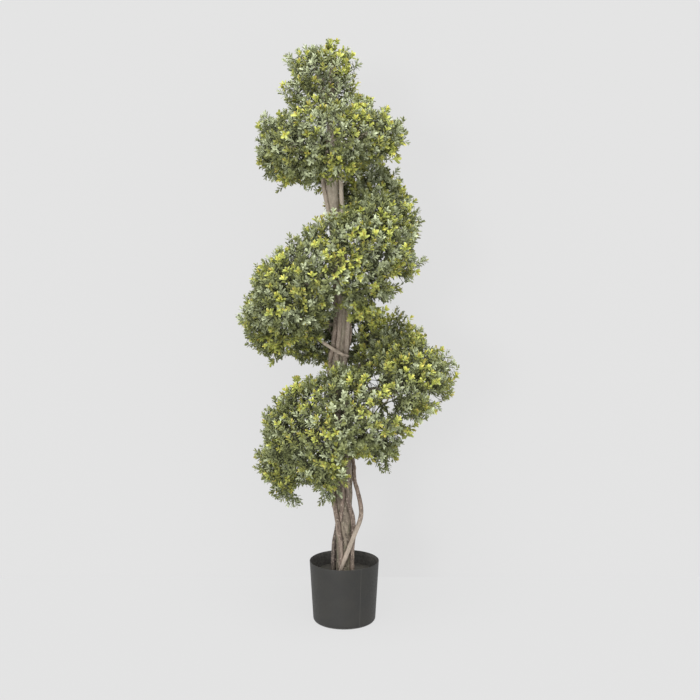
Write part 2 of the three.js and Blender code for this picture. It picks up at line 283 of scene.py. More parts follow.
pot_plastic = plain_material("pot_plastic", (0.06, 0.058, 0.053), 0.5, 0.35)
pot_node, pot_place = mottled(
    pot_plastic,
    (0.0262, 0.0257, 0.0238),
    (0.0305, 0.0296, 0.0262),
    22.0,
    0.8,
    "Roughness",
    "Roughness",
)
add_bump(pot_plastic, pot_node, "Height", 0.08, 0.001)

# The parting line shows paler, on the plane through the axis at this angle from the front.
SEAM_ANGLE = math.radians(29)
SEAM_HALF = 0.0011
tree = pot_plastic.node_tree
split = tree.nodes.new("ShaderNodeSeparateXYZ")
tree.links.new(pot_place.outputs["Object"], split.inputs[0])
across = math_node(
    tree,
    "ADD",
    math_node(tree, "MULTIPLY", split.outputs["X"], math.cos(SEAM_ANGLE)),
    math_node(tree, "MULTIPLY", split.outputs["Y"], math.sin(SEAM_ANGLE)),
)
seam = range_node(tree, math_node(tree, "ABSOLUTE", across), SEAM_HALF, 0, 0, 0.8)
seamed = mix_colour(tree, seam, pot_node.outputs["Colour"], (0.062, 0.06, 0.054, 1))
# Painted shade: the rounded foot is painted a little darker where it turns under.
foot = range_node(tree, split.outputs["Z"], 0.012, 0.002, 0, 0.45)
foot_shaded = mix_colour(tree, foot, seamed, (0.02, 0.02, 0.019, 1))
tree.links.new(foot_shaded, tree.nodes["Principled BSDF"].inputs["Base Color"])

# The inner wall is the same plastic painted paler, in fine mottles: painted light that lifts the
# shade inside the pot.
pot_inside = plain_material("pot_inside", (0.1, 0.096, 0.088), 0.8, 0.3)
mottled(
    pot_inside, (0.068, 0.066, 0.06), (0.11, 0.105, 0.098), 160.0, 1.0, "Colour", "Base Color"
)
pot = turned("pot_shell", profile, POT_STEPS, [pot_plastic, pot_inside])
for face in pot.data.polygons:
    middle = face.center
    if middle.z > POT_FLOOR and math.hypot(middle.x, middle.y) < pot_radius(middle.z) - WALL * 0.8:
        face.material_index = 1
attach(pot, "root")
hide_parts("pot")

# ------------------------------------------------------------------------------------------
# Fill. Ballast mix poured round the stems and set: a rough, dark, crumbly face a little below
# the lip. Nothing covers it.

fill_low, fill_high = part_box("pot_fill")
FILL_TOP = fill_high.z
FILL_RADIUS = (fill_high.x - fill_low.x) / 2
profile = [(0, fill_low.z), (FOOT - FOOT_ROUND - 0.002, fill_low.z), (FOOT - 0.003, 0.014)]
profile += [(FILL_RADIUS - 0.0002, FILL_TOP - 0.003)]
FILL_RINGS = 44
LUMPS_PER_METRE = 95
LUMP_HEIGHT = 0.0022
for i in range(FILL_RINGS, -1, -1):
    profile.append(((FILL_RADIUS - 0.0006) * i / FILL_RINGS, FILL_TOP - 0.001))

fill_mix = plain_material("set_ballast_mix", (0.03, 0.026, 0.02), 0.9, 0.2)
fill_node, _ = mottled(
    fill_mix, (0.110, 0.105, 0.096), (0.15, 0.14, 0.12), 190.0, 0.8, "Colour", "Base Color"
)
add_bump(fill_mix, fill_node, "Height", 0.8, 0.002)
fill = turned("ballast_fill", profile, POT_STEPS, [fill_mix])
for vertex in fill.data.vertices:
    if vertex.co.z > FILL_TOP - 0.002:
        place = vertex.co * LUMPS_PER_METRE
        lump = noise.noise(place) + 0.6 * abs(noise.noise(place * 2.3))
        vertex.co.z += LUMP_HEIGHT * lump - 0.0008
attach(fill, "root")
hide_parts("pot_fill")

# ------------------------------------------------------------------------------------------
# Trunk. A dried core stem with its bark on, grey-brown and greenish in patches, ribbed along
# its length and flared at the foot, where it is set in the fill.

BARK_STEP = 0.004  # between the rings of a bark mesh


def triangles(node):
    """The corners of a CAD node's triangles, as an array of n x 3 x 3."""
    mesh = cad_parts[node].data
    mesh.calc_loop_triangles()
    corners = np.array([t.vertices[:] for t in mesh.loop_triangles])
    points = np.array([v.co[:] for v in mesh.vertices])
    return points[corners]


def spine(node, axis, step, smooth):
    """Centres and radii of the solid's sections at even steps along an axis, smoothed."""
    tris = triangles(node)
    axis = np.array(axis, float) / np.linalg.norm(axis)
    level = tris @ axis
    low, high = level.min(), level.max()
    count = max(3, round((high - low) / step))
    centres, radii = [], []
    heights = low + (high - low) * (np.arange(count) + 0.5) / count
    for height in heights:
        over = level > height
        crossed = over.any(1) & ~over.all(1)
        cut, side = tris[crossed], over[crossed]
        lone = np.where((side.sum(1) == 1)[:, None], side, ~side).argmax(1)
        rows = np.arange(len(cut))
        a, b, c = cut[rows, lone], cut[rows, (lone + 1) % 3], cut[rows, (lone + 2) % 3]
        p, q = (
            a + (far - a) * ((height - a @ axis) / ((far - a) @ axis))[:, None] for far in (b, c)
        )
        normal = np.cross(cut[:, 1] - cut[:, 0], cut[:, 2] - cut[:, 0])
        back = np.einsum("ij,ij->i", q - p, np.cross(axis, normal)) < 0
        p[back], q[back] = q[back], p[back].copy()
        middle = p.mean(0)
        areas = np.cross(p - middle, q - middle) @ axis / 2
        area = areas.sum()
        centres.append(middle + ((p + q - 2 * middle) / 3 * areas[:, None]).sum(0) / area)
        radii.append(math.sqrt(abs(area) / math.pi))
    centres, radii = np.array(centres), np.array(radii)
    # carry the line on to both ends of the solid
    centres = np.vstack(
        [
            centres[0] - (centres[1] - centres[0]) / 2,
            centres,
            centres[-1] + (centres[-1] - centres[-2]) / 2,
        ]
    )
    radii = np.concatenate([radii[:1], radii, radii[-1:]])
    for _ in range(smooth):
        centres[1:-1] = (centres[:-2] + 2 * centres[1:-1] + centres[2:]) / 4
        radii[1:-1] = (radii[:-2] + 2 * radii[1:-1] + radii[2:]) / 4
    return centres, radii


def resample(points, radii, step):
    """The same line with points at even steps along it."""
    run = np.concatenate([[0], np.cumsum(np.linalg.norm(np.diff(points, axis=0), axis=1))])
    count = max(3, round(run[-1] / step) + 1)
    at = np.linspace(0, run[-1], count)
    line = np.column_stack([np.interp(at, run, points[:, k]) for k in range(3)])
    line[1:-1] = (line[:-2] + 2 * line[1:-1] + line[2:]) / 4
    return line, np.interp(at, run, radii)


def turning_frames(line):
    """Two unit vectors square to the line at each point, turning no more than it does."""
    tangent = np.gradient(line, axis=0)
    tangent /= np.linalg.norm(tangent, axis=1)[:, None]
    side = np.array([1.0, 0, 0]) if abs(tangent[0][0]) < 0.9 else np.array([0, 1.0, 0])
    first = []
    for direction in tangent:
        side = side - direction * (side @ direction)
        side /= np.linalg.norm(side)
        first.append(side)
    first = np.array(first)
    return first, np.cross(tangent, first)


BARK_WANDER = 0.0011  # how far a limb's line strays from true
noise.seed_set(1)  # noise_vector takes its seed from the clock otherwise


def bark_limb(bm, line, radii, sides, relief, seed, knots=()):
    """Adds a limb of round section with ribs, furrows and knots in its bark.
    relief is the ribs' height as a share of the radius; a knot is (distance along, angle,
    width, height)."""
    rings = len(line) - 1
    part = bmesh.new()
    bmesh.ops.create_cone(part, cap_ends=True, segments=sides, radius1=1, radius2=1, depth=1)
    upright = [e for e in part.edges if abs(e.verts[0].co.z - e.verts[1].co.z) > 0.5]
    bmesh.ops.subdivide_edges(part, edges=upright, cuts=rings - 1)
    first, second = turning_frames(line)
    run = np.concatenate([[0], np.cumsum(np.linalg.norm(np.diff(line, axis=0), axis=1))])
    shift = Vector((seed * 7.3, seed * 3.1, seed * 5.7))
    wander = [noise.noise_vector(Vector((0, 0, at * 30)) + shift) * BARK_WANDER for at in run]
    for vertex in part.verts:
        i = min(rings, max(0, round((vertex.co.z + 0.5) * rings)))
        angle = math.atan2(vertex.co.y, vertex.co.x)
        x, y, along = math.cos(angle), math.sin(angle), run[i]
        ribs = noise.noise(Vector((1.6 * x, 1.6 * y, along * 7)) + shift)
        furrows = 0.5 - abs(noise.noise(Vector((4.2 * x, 4.2 * y, along * 20)) + shift)) * 2
        grain = noise.noise(Vector((9 * x, 9 * y, along * 60)) + shift)
        out = radii[i] * (1 + relief * (0.9 * ribs - 0.5 * furrows + 0.3 * grain))
        for at, way, width, height in knots:
            turn = (angle - way + math.pi) % math.tau - math.pi
            reach = math.hypot((along - at) / width, turn * radii[i] / width)
            out += height * math.exp(-reach * reach)
        vertex.co = Vector(line[i] + (first[i] * x + second[i] * y) * out) + wander[i]
    mesh = bpy.data.meshes.new("part")
    part.to_mesh(mesh)
    part.free()
    bm.from_mesh(mesh)
    bpy.data.meshes.remove(mesh)


def bark_group():
    """Grey-brown bark: streaks along Z, dark furrows, scuffs and patches of a second colour,
    and painted light: painted paler from one height to another."""
    group, given, end = new_group(
        "Bark",
        {
            "Pale": (0.4, 0.33, 0.26, 1),
            "Dark": (0.1, 0.08, 0.06, 1),
            "Patch": (0.2, 0.2, 0.13, 1),
            "Patches": 0.4,
            "Painted Light From": 0.35,
            "Painted Light To": 1.1,
            "Fade": 0.5,
        },
    )
    stretch = group.nodes.new("ShaderNodeVectorMath")
    stretch.operation = "MULTIPLY"
    stretch.inputs[1].default_value = (1, 1, 0.3)
    group.links.new(given["Place"], stretch.inputs[0])
    streaks = noise_node(group, stretch.outputs["Vector"], 150.0, 5.0)
    furrows = noise_node(group, stretch.outputs["Vector"], 300.0, 3.0)
    flecks = noise_node(group, given["Place"], 210.0, 4.0)
    patches = noise_node(group, given["Place"], 34.0, 4.0)
    patch = math_node(group, "MULTIPLY", range_node(group, patches, 0.46, 0.62), given["Patches"])
    ground = mix_colour(group, patch, given["Pale"], given["Patch"])
    streak = range_node(group, streaks, 0.62, 0.36, 0, 0.8)
    streaked = mix_colour(group, streak, ground, given["Dark"])
    furrow = range_node(group, furrows, 0.42, 0.3, 0, 0.7)
    furrowed = mix_colour(group, furrow, streaked, given["Dark"])
    scuff = range_node(group, flecks, 0.56, 0.68, 0, 0.7)
    scuffed = mix_colour(group, scuff, furrowed, (0.52, 0.44, 0.36, 1))
    # Painted light: between two heights the colour is painted paler, towards a pale bark colour.
    height = group.nodes.new("ShaderNodeSeparateXYZ")
    group.links.new(given["Place"], height.inputs[0])
    run = math_node(group, "SUBTRACT", height.outputs["Z"], given["Painted Light From"])
    whole = math_node(group, "SUBTRACT", given["Painted Light To"], given["Painted Light From"])
    along = range_node(group, math_node(group, "DIVIDE", run, whole), 0, 1)
    painted_light = math_node(group, "MULTIPLY", along, given["Fade"])
    shallow = math_node(group, "MULTIPLY", furrows, 0.5)
    end_group(
        group,
        end,
        Colour=mix_colour(group, painted_light, scuffed, (0.62, 0.54, 0.44, 1)),
        Roughness=range_node(group, streaks, 0.3, 0.7, 0.92, 0.72),
        Height=math_node(group, "ADD", streaks, shallow),
    )
    return group


bark = bark_group()
UPWARD = (0.35, 1.1, 0.5)  # the usual painted light on bark, paler going up


def bark_material(name, pale, dark, patch, patches, bump, painted_light=UPWARD):
    """The last argument is the painted light on the bark: the height where it begins to pale,
    where it is palest, and how pale.
    """
    material = plain_material(name, pale, 0.85, 0.25)
    values = {"Pale": (*pale, 1), "Dark": (*dark, 1), "Patch": (*patch, 1), "Patches": patches}
    values |= dict(zip(("Painted Light From", "Painted Light To", "Fade"), painted_light))
    node, _ = use_group(material, bark, values, {"Colour": "Base Color", "Roughness": "Roughness"})
    add_bump(material, node, "Height", bump, 0.0012)
    return material


trunk_bark = bark_material(
    "trunk_bark", (0.31, 0.26, 0.20), (0.085, 0.067, 0.052), (0.20, 0.195, 0.13), 0.9, 1.0
)
SPINE_STEP = 0.012  # between the sections that a stem's centre line is read from
centres, radii = spine("trunk", (0, 0, 1), SPINE_STEP, 4)
trunk_line, trunk_radii = resample(centres, radii, BARK_STEP)
bm = bmesh.new()
bark_limb(
    bm,
    trunk_line,
    trunk_radii * 1.03,
    36,
    0.13,
    1,
    knots=(
        (0.075, 4.9, 0.012, 0.003),
        (0.165, 4.3, 0.010, 0.0025),
        (0.62, 4.6, 0.012, 0.003),
        (0.985, 5.2, 0.008, 0.003),
        (1.02, 4.2, 0.010, 0.0025),
    ),
)
trunk = finish_mesh("trunk_core", bm, [trunk_bark])
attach(trunk, "root")
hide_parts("trunk")


def trunk_at(height):
    """The trunk line's x and y at heights."""
    levels = trunk_line[:, 2]
    return np.column_stack([np.interp(height, levels, trunk_line[:, k]) for k in (0, 1)])


# ------------------------------------------------------------------------------------------
# Stems. Six thinner dried stems, each wound up the core and pinned to it. One stands off the
# core in a bow low down and another lies across the front of the foot.

# Each stem's pale and dark colours, how patchy it is, and its painted light along its height.
STEM_SPECS = {
    "left_stem": ((0.32, 0.25, 0.205), (0.09, 0.066, 0.053), 0.3, (0.35, 1.1, 0.15)),
    "left_rear_stem": ((0.19, 0.155, 0.135), (0.05, 0.04, 0.035), 0.3, UPWARD),
    "front_stem": ((0.31, 0.235, 0.19), (0.085, 0.06, 0.05), 0.25, UPWARD),
    # Painted light: the right stem is painted fully pale from 1.05 m up, a painted highlight.
    "right_stem": ((0.28, 0.22, 0.18), (0.07, 0.05, 0.042), 0.2, (0.6, 1.05, 1.0)),
    # Painted light: the loop stem is painted palest below 0.25 m, a painted highlight on its low
    # bow.
    "loop_stem": ((0.30, 0.23, 0.185), (0.09, 0.066, 0.053), 0.15, (0.30, 0.25, 0.48)),
    "back_stem": ((0.30, 0.24, 0.195), (0.08, 0.06, 0.05), 0.5, UPWARD),
}
STEM_PRESS = 0.0008  # how far a stem's bark is pressed into the core's
for seed, (name, (pale, dark, patches, painted_light)) in enumerate(STEM_SPECS.items(), 11):
    centres, radii = spine(name, (0, 0, 1), SPINE_STEP, 3)
    line, radii = resample(centres, radii, BARK_STEP)
    away = line[:, :2] - trunk_at(line[:, 2])
    line[:, :2] -= away / np.linalg.norm(away, axis=1)[:, None] * STEM_PRESS
    length = len(line) * BARK_STEP
    generator = np.random.default_rng(seed)
    knots = [
        (
            generator.uniform(0.1, 0.95) * length,
            generator.uniform(0, math.tau),
            generator.uniform(0.004, 0.007),
            generator.uniform(0.001, 0.0022),
        )
        for _ in range(round(length / 0.09))
    ]
    bm = bmesh.new()
    bark_limb(bm, line, radii * 1.1, 20, 0.15, seed, knots)
    material = bark_material(name + "_bark", pale, dark, (0.24, 0.22, 0.16), patches, 0.9, painted_light)
    stem = finish_mesh(name + "_bark", bm, [material])
    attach(stem, "root")
    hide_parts(name)

# ------------------------------------------------------------------------------------------
# Where the sprays go. Each mass of foliage in the CAD model is a wired bough's worth of sprays.
# Outer sprays stand all over its open skin, and darker ones fill in behind them.

MASS_NODES = sorted(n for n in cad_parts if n.startswith("foliage_"))
masses = {}
for node in MASS_NODES:
    tris = triangles(node)
    masses[node] = {
        "tris": tris,
        "low": tris.min((0, 1)),
        "high": tris.max((0, 1)),
        "tree": BVHTree.FromPolygons(
            [Vector(p) for p in tris.reshape(-1, 3)],
            np.arange(len(tris) * 3).reshape(-1, 3).tolist(),
        ),
    }


def within(node, point):
    """How deep a point lies inside a mass, or a negative distance outside it."""
    mass = masses[node]
    if (point < mass["low"]).any() or (point > mass["high"]).any():
        return -1.0
    near, normal, _, distance = mass["tree"].find_nearest(Vector(point))
    return distance if (Vector(point) - near).dot(normal) < 0 else -distance


def deepest(point):
    return max(within(node, point) for node in MASS_NODES)


class Spacing:
    """Keeps points a set distance apart."""

    def __init__(self, gap):
        self.gap = gap
        self.cells = {}

    def take(self, point):
        cell = [math.floor(c / self.gap) for c in point]
        for step in product((-1, 0, 1), repeat=3):
            for other in self.cells.get(tuple(map(sum, zip(cell, step))), ()):
                if sum((a - b) ** 2 for a, b in zip(point, other)) < self.gap**2:
                    return False
        self.cells.setdefault(tuple(cell), []).append(tuple(point))
        return True


# Ways right through the foliage from front to back, where it is thin: x, z and radius.
OPENINGS = (
    (0.089, 0.573, 0.012),
    (0.119, 0.579, 0.012),
    (0.126, 0.604, 0.011),
    (0.079, 0.646, 0.015),
    (0.169, 0.539, 0.012),
    (0.238, 0.601, 0.010),
    (0.024, 0.782, 0.012),
    (0.086, 0.852, 0.013),
    (0.135, 0.913, 0.012),
    (0.094, 0.961, 0.010),
    (0.087, 1.352, 0.011),
    (-0.016, 0.861, 0.015),
)
# Dents in the outline, the same way.
DENTS = (
    (-0.140, 1.485, 0.022),
    (0.031, 1.494, 0.020),
    (0.054, 1.459, 0.020),
    (-0.148, 1.433, 0.017),
    (-0.179, 1.349, 0.021),
    (0.136, 1.349, 0.028),
    (-0.246, 1.269, 0.025),
    (-0.244, 1.224, 0.025),
    (-0.229, 1.178, 0.028),
    (0.181, 1.153, 0.028),
    (0.208, 1.000, 0.031),
    (0.198, 0.906, 0.023),
    (0.170, 0.845, 0.019),
    (-0.268, 0.897, 0.028),
    (-0.289, 0.869, 0.031),
    (0.235, 0.762, 0.023),
    (-0.144, 0.686, 0.033),
    (0.230, 0.524, 0.027),
    (0.204, 0.492, 0.034),
    (0.181, 0.459, 0.040),
    (-0.219, 0.592, 0.024),
    (-0.247, 0.497, 0.034),
    (0.047, 0.416, 0.037),
    (0.107, 0.354, 0.040),
    (0.152, 0.379, 0.032),
    (0.087, 0.388, 0.017),
    (-0.192, 0.322, 0.029),
    (-0.105, 0.337, 0.035),
)
CAMERA_PLACE = Vector((0.0152, -3.5, 1.2699))


def in_opening(foot, way):
    """Whether a spray reaches into an opening as the front sees it."""
    for reach in (0, 0.4, 0.8, 1.2):
        point = foot + way * (reach * SPRAY_DEPTH)
        share = -CAMERA_PLACE.y / (point[1] - CAMERA_PLACE.y)
        x = CAMERA_PLACE.x + (point[0] - CAMERA_PLACE.x) * share
        z = CAMERA_PLACE.z + (point[2] - CAMERA_PLACE.z) * share
        if any(math.hypot(x - a, z - b) < r for a, b, r in OPENINGS + DENTS):
            return True
    return False


SPRAY_GAP = 0.0144
INNER_GAP = 0.027
SPRAY_DEPTH = 0.030  # a spray's own length, from its foot to its last pair of leaves
CLEAR = 0.014  # a point this far off the skin has to be outside every mass
TRUNK_CLEAR = 0.046
TRIES = 5  # for each place that a spray could take
# How an outer spray's way is made up: along the skin's normal, up, and at random.
OUTWARD = 0.68
UPRIGHT = 0.48
CROWN_UPRIGHT = 0.75
WILD = 0.45
LEAST_OUTWARD = 0.45
# How far its end stands off the skin: a spread for all, and more for the share that stray.
RISE_SPREAD = 0.006
STRAY_SHARE = 0.18
STRAY_RISE = 0.016
SETBACK = 0.011
LIFT_LOW = -0.026
LIFT_HIGH = 0.016
random = np.random.default_rng(2024)
sprays = {node: {"foot": [], "way": [], "inner": []} for node in MASS_NODES}


def add_spray(node, foot, way, inner):
    for key, value in (("foot", foot), ("way", way), ("inner", inner)):
        sprays[node][key].append(value)


spacing = Spacing(SPRAY_GAP)
for node in MASS_NODES:
    tris = masses[node]["tris"]
    normals = np.cross(tris[:, 1] - tris[:, 0], tris[:, 2] - tris[:, 0])
    sizes = np.linalg.norm(normals, axis=1)
    normals /= sizes[:, None]
    tries = round(sizes.sum() / 2 / SPRAY_GAP**2 * TRIES)
    pick = random.choice(len(tris), tries, p=sizes / sizes.sum())
    share = random.random((tries, 2))
    share = np.where(share.sum(1)[:, None] > 1, 1 - share, share)
    points = (
        tris[pick, 0]
        + (tris[pick, 1] - tris[pick, 0]) * share[:, :1]
        + (tris[pick, 2] - tris[pick, 0]) * share[:, 1:]
    )
    from_trunk = points[:, :2] - trunk_at(points[:, 2])
    clear = np.linalg.norm(from_trunk, axis=1) > TRUNK_CLEAR
    wander = random.normal(0, 1, (tries, 3))
    rise = random.normal(0, RISE_SPREAD, tries)
    rise += np.where(random.random(tries) < STRAY_SHARE, STRAY_RISE, 0)
    upright = np.array([0, 0, CROWN_UPRIGHT if node == "foliage_crown" else UPRIGHT])
    for i in np.flatnonzero(clear):
        normal = normals[pick[i]]
        if deepest(points[i] + normal * CLEAR) > 0 or not spacing.take(points[i]):
            continue
        lumps = 0.017 * noise.noise(Vector(points[i] * 22))
        lumps += 0.009 * noise.noise(Vector(points[i] * 52))
        wild = wander[i] / np.linalg.norm(wander[i])
        way = normal * OUTWARD + upright + wild * WILD
        way += normal * max(0, LEAST_OUTWARD - way @ normal)
        way /= np.linalg.norm(way)
        lift = min(LIFT_HIGH, max(LIFT_LOW, lumps + rise[i] - SETBACK))
        foot = points[i] + normal * lift - way * SPRAY_DEPTH
        if not in_opening(foot, way):
            add_spray(node, foot, way, False)

# Sprays that hang or stand clear of the skin, by mass: middle, spread, count and the way they
# point.
TUFTS = {
    "foliage_04_right": (
        ((0.088, -0.105, 0.515), (0.022, 0.018, 0.010), 14, (0.3, -0.3, -0.6)),
        ((0.092, -0.105, 0.492), (0.018, 0.015, 0.008), 12, (0.35, -0.2, -0.8)),
        ((0.094, -0.105, 0.474), (0.014, 0.012, 0.006), 6, (0.3, -0.2, -0.8)),
    ),
    "foliage_05_back_right": (
        ((0.138, 0.080, 0.785), (0.012, 0.012, 0.008), 8, (0.5, 0.0, 0.8)),
    ),
    "foliage_02_front_left": (
        ((-0.150, -0.062, 0.393), (0.008, 0.010, 0.008), 4, (-0.2, -0.2, -0.8)),
        ((-0.144, -0.062, 0.374), (0.005, 0.008, 0.006), 3, (0.1, -0.2, -0.9)),
        ((-0.138, -0.062, 0.362), (0.005, 0.008, 0.004), 3, (0.6, -0.2, -0.6)),
        ((-0.040, -0.062, 0.385), (0.012, 0.010, 0.006), 7, (0.1, -0.2, -0.9)),
        ((-0.043, -0.062, 0.372), (0.007, 0.008, 0.004), 5, (0.0, -0.2, -0.9)),
    ),
    "foliage_crown": (
        ((-0.030, 0.0, 1.466), (0.014, 0.010, 0.007), 8, (0.1, 0.0, 1.0)),
        ((-0.032, 0.0, 1.480), (0.005, 0.006, 0.005), 4, (0.0, 0.0, 1.0)),
        ((-0.080, 0.0, 1.462), (0.012, 0.010, 0.006), 6, (-0.2, 0.0, 1.0)),
        ((-0.118, 0.0, 1.453), (0.008, 0.012, 0.006), 4, (-0.8, 0.0, 0.5)),
        ((0.008, 0.0, 1.450), (0.006, 0.010, 0.006), 4, (0.6, 0.0, 0.8)),
    ),
}
TUFT_REACH = 1.4  # of the spread, to each side
TUFT_WILD = 0.35
for node, tufts in TUFTS.items():
    for place, spread, count, way in tufts:
        for _ in range(count):
            wild = random.normal(0, TUFT_WILD, 3)
            off = random.uniform(-TUFT_REACH, TUFT_REACH, 3) * spread
            pointed = np.array(way) + wild
            add_spray(node, np.array(place) + off, pointed / np.linalg.norm(pointed), False)

INNER_LEAST = 0.034  # how deep the inner sprays lie
INNER_MOST = 0.080
INNER_OUTWARD = 0.6
INNER_UPRIGHT = np.array([0, 0, 0.3])
INNER_WILD = 0.6
INNER_TRIES = 4
spacing = Spacing(INNER_GAP)
for node in MASS_NODES:
    mass = masses[node]
    room = np.prod(mass["high"] - mass["low"])
    tries = round(room / INNER_GAP**3 * INNER_TRIES)
    points = mass["low"] + random.random((tries, 3)) * (mass["high"] - mass["low"])
    wander = random.normal(0, 1, (tries, 3))
    for i in range(tries):
        if not INNER_LEAST < within(node, points[i]) < INNER_MOST:
            continue
        normal = mass["tree"].find_nearest(Vector(points[i]))[1]
        leaving = mass["tree"].ray_cast(Vector(points[i]), normal)[1]
        # near an edge a point outside can pass for one inside, so it has to see the skin's back
        if leaving is None or leaving.dot(normal) < 0 or not spacing.take(points[i]):
            continue
        wild = wander[i] / np.linalg.norm(wander[i])
        way = np.array(normal) * INNER_OUTWARD + INNER_UPRIGHT + wild * INNER_WILD
        way /= np.linalg.norm(way)
        if not in_opening(points[i], way):
            add_spray(node, points[i], way, True)

for node in MASS_NODES:
    for key in sprays[node]:
        sprays[node][key] = np.array(sprays[node][key])

# ------------------------------------------------------------------------------------------
# Boughs and limbs. Each bough is a bark-wrapped wire that leaves the core, enters its mass and
# forks into arms along the band. Thinner limbs leave the arms for the sprays.

bough_bark = bark_material(
    "bough_bark", (0.34, 0.28, 0.22), (0.09, 0.07, 0.055), (0.2, 0.19, 0.13), 0.5, 0.6
)
BAND_NODES = [n for n in MASS_NODES if n != "foliage_crown"]


def middle(node):
    """A mass's middle, weighted by volume."""
    tris = masses[node]["tris"]
    parts = np.einsum("ij,ij->i", tris[:, 0], np.cross(tris[:, 1], tris[:, 2]))
    return (tris.sum(1) / 4 * parts[:, None]).sum(0) / parts.sum()


def around_trunk(points):
    """Points as angle round the trunk, distance from it and height."""
    off = points[:, :2] - trunk_at(points[:, 2])
    angle = np.unwrap(np.arctan2(off[:, 1], off[:, 0]))
    return np.column_stack([angle, np.linalg.norm(off, axis=1), points[:, 2]])


def from_around(rows):
    """The points of rows of angle, distance and height."""
    base = trunk_at(rows[:, 2])
    return np.column_stack(
        [
            base[:, 0] + rows[:, 1] * np.cos(rows[:, 0]),
            base[:, 1] + rows[:, 1] * np.sin(rows[:, 0]),
            rows[:, 2],
        ]
    )


band_rows = around_trunk(np.array([middle(node) for node in BAND_NODES]))


def band_line(low, high, count):
    """Points along the middle of the band between two places, counted in masses."""
    at = np.linspace(low, high, count)
    places = np.arange(len(BAND_NODES))
    return from_around(np.column_stack([np.interp(at, places, band_rows[:, k]) for k in range(3)]))


def bend(start, end, leave, arrive, count):
    """A smooth line from start to end that leaves and arrives along the given directions."""
    t = np.linspace(0, 1, count)[:, None]
    reach = np.linalg.norm(end - start)
    a = start + leave * reach * 0.35
    b = end - arrive * reach * 0.35
    return (1 - t) ** 3 * start + 3 * t * (1 - t) ** 2 * a + 3 * t**2 * (1 - t) * b + t**3 * end


def unit(vector):
    return vector / np.linalg.norm(vector)


def thin_tubes(lines, radii, sides):
    """Points and faces of many open tubes at once. lines is m x k x 3 and radii m x k."""
    count, length = lines.shape[:2]
    tangent = np.gradient(lines, axis=1)
    tangent /= np.linalg.norm(tangent, axis=2, keepdims=True) + 1e-12
    guide = np.where(abs(tangent[:, :1, 2:]) < 0.9, [[[0, 0, 1.0]]], [[[1.0, 0, 0]]])
    first = np.cross(tangent, np.broadcast_to(guide, tangent.shape))
    first /= np.linalg.norm(first, axis=2, keepdims=True) + 1e-12
    second = np.cross(tangent, first)
    angle = np.arange(sides) * math.tau / sides
    ring = (
        first[:, :, None] * np.cos(angle)[:, None] + second[:, :, None] * np.sin(angle)[:, None]
    ) * radii[:, :, None, None]
    points = (lines[:, :, None] + ring).reshape(-1, 3)
    i, j = np.meshgrid(np.arange(length - 1), np.arange(sides), indexing="ij")
    one = np.stack(
        [
            i * sides + j,
            i * sides + (j + 1) % sides,
            (i + 1) * sides + (j + 1) % sides,
            (i + 1) * sides + j,
        ],
        -1,
    ).reshape(-1, 4)
    faces = (np.arange(count)[:, None, None] * length * sides + one).reshape(-1, 4)
    return points, faces


def array_piece(name, points, faces, materials, tints=None):
    """Many small things as one joined mesh; tints gives each face's material."""
    mesh = bpy.data.meshes.new(name)
    mesh.from_pydata(points, [], faces)
    for material in materials:
        mesh.materials.append(material)
    if tints is not None:
        mesh.polygons.foreach_set("material_index", tints.astype(np.int32))
    mesh.polygons.foreach_set("use_smooth", [False] * len(faces))
    mesh.update()
    return in_scene(name, mesh)


def farthest(points, count, generator):
    """Indexes of points spread as far apart as they go."""
    chosen = [int(generator.integers(len(points)))]
    gap = np.linalg.norm(points - points[chosen[0]], axis=1)
    while len(chosen) < min(count, len(points)):
        chosen.append(int(gap.argmax()))
        gap = np.minimum(gap, np.linalg.norm(points - points[chosen[-1]], axis=1))
    return chosen


def nearest_of(nodes):
    tree = KDTree(len(nodes))
    for i, point in enumerate(nodes):
        tree.insert(Vector(point), i)
    tree.balance()
    return tree


def grow(bm, line, radii, step, sides, relief, seed):
    """Adds a bark limb with rings at even steps and returns the line that it follows."""
    line, radii = resample(line, radii, step)
    bark_limb(bm, line, radii, sides, relief, seed)
    return line


LIMB_POINTS = 7
TWIG_POINTS = 6
LIMBS_PER_MASS = 26
LIMB_REACH = 0.66  # of the way to the spray that a limb grows towards
INNER_TWIG = 0.022  # how far a twig runs along an inner spray
ARM_REACH = 0.42  # of the way to the next mass
ARM_POINTS = 8
ARM_STEP = 0.006
ARM_WANDER = 0.006
BOUGH_STEP = 0.005
LEADER_POINTS = 14
CROWN_ARMS = 9
CROWN_TURN = 2.4  # from one of the crown's arms to the next
CROWN_REACH = 0.045
# Radii at the foot and at the tip.
LEADER_RADII = (0.0055, 0.0018)
CROWN_ARM_RADII = (0.0036, 0.002)
ARM_RADII = (0.0028, 0.0018)
LIMB_RADII = (0.0021, 0.0012)
TWIG_RADII = (0.0011, 0.0005)
UP = np.array([0, 0, 1.0])
limb_random = np.random.default_rng(77)
twig_green = plain_material("twig_wrap", (0.082, 0.086, 0.045), 0.75, 0.2)

